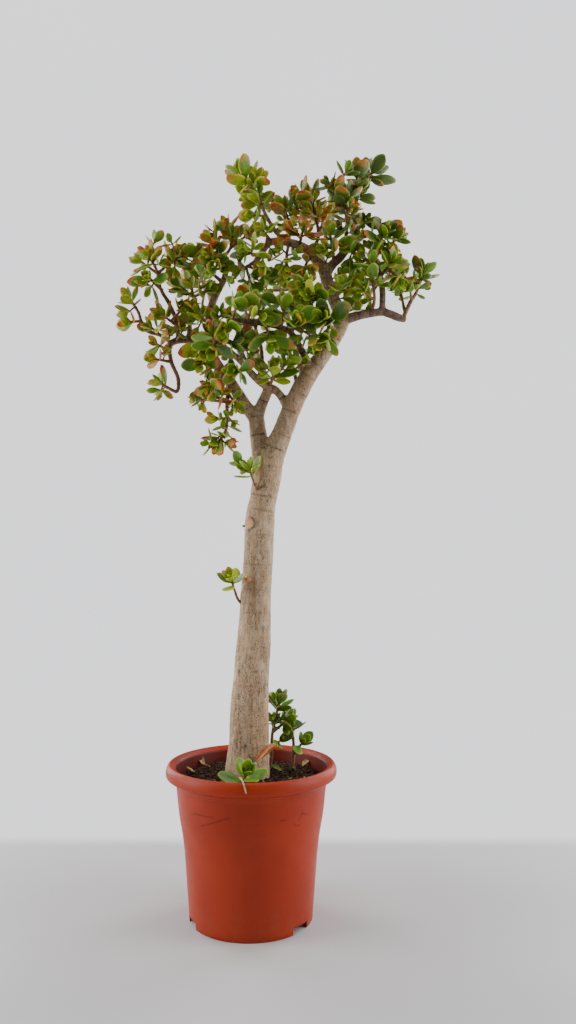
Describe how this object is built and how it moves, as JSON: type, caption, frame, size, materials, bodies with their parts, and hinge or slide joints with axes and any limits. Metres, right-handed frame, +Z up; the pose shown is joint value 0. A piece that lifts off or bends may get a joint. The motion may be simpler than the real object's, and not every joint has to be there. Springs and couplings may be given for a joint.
{
  "type": "jade bonsai",
  "caption": "Tree-shaped jade plant with a bare forked trunk and fleshy leaves, standing in soil in a round plastic nursery pot.",
  "frame": {"origin": "on the pot's axis, on the floor that the pot stands on", "axes": "+Z up along the trunk, -Y towards the front of the plant, +X to its right"},
  "size_m": [0.6505, 0.4396, 1.5202],
  "materials": {
    "pot": "terracotta-coloured moulded plastic, satin",
    "soil": "dark crumbly potting soil",
    "bark": "smooth pale bark with fine cracks and rings",
    "foliage": "fleshy leaves, satin, with reddish margins"
  },
  "bodies": {
    "root": {"pot": "pot", "soil": "soil", "trunk": "bark", "stem_top_left": "foliage", "stem_top_middle": "foliage", "stem_top_orange": "foliage", "stem_upper_pink": "foliage", "stem_upper_right_front": "foliage", "stem_top_reddish": "foliage", "stem_top_right": "foliage", "stem_right_upper": "foliage", "stem_right_middle": "foliage", "stem_right_inner": "foliage", "stem_right_low": "foliage", "stem_right_behind": "foliage", "stem_far_right": "foliage", "stem_middle_hanging_red": "foliage", "stem_middle_hanging": "foliage", "stem_centre_upper": "foliage", "stem_centre_end": "foliage", "stem_centre_side": "foliage", "stem_left_fork": "foliage", "stem_left_upper": "foliage", "stem_far_left_top": "foliage", "stem_far_left_front": "foliage", "stem_left_inner_top": "foliage", "stem_far_left_out": "foliage", "stem_left_brown": "foliage", "stem_left_hanging": "foliage", "stem_left_pale": "foliage", "stem_front_left": "foliage", "stem_left_low": "foliage", "stem_left_low_red": "foliage", "stem_crossing_low": "foliage", "stem_left_limb_side": "foliage", "stem_left_limb_out": "foliage", "stem_centre_dark": "foliage", "stem_middle_end": "foliage", "stem_middle_tall": "foliage", "stem_middle_low": "foliage", "stem_middle_dense": "foliage", "stem_middle_dense_right": "foliage", "stem_centre_long": "foliage", "stem_bright": "foliage", "stem_right_limb_inner": "foliage", "stem_front_right": "foliage", "stem_right_limb_front": "foliage", "stem_right_limb_out": "foliage", "stem_hanging": "foliage", "shoot_trunk_upper": "foliage", "shoot_trunk_lower": "foliage", "stem_back_crown": "foliage", "stem_back_left": "foliage", "stem_back_middle": "foliage", "stem_back_inner": "foliage", "stem_back_right": "foliage", "basal_tall": "foliage", "basal_right": "foliage", "basal_front": "foliage"}
  },
  "joints": []
}
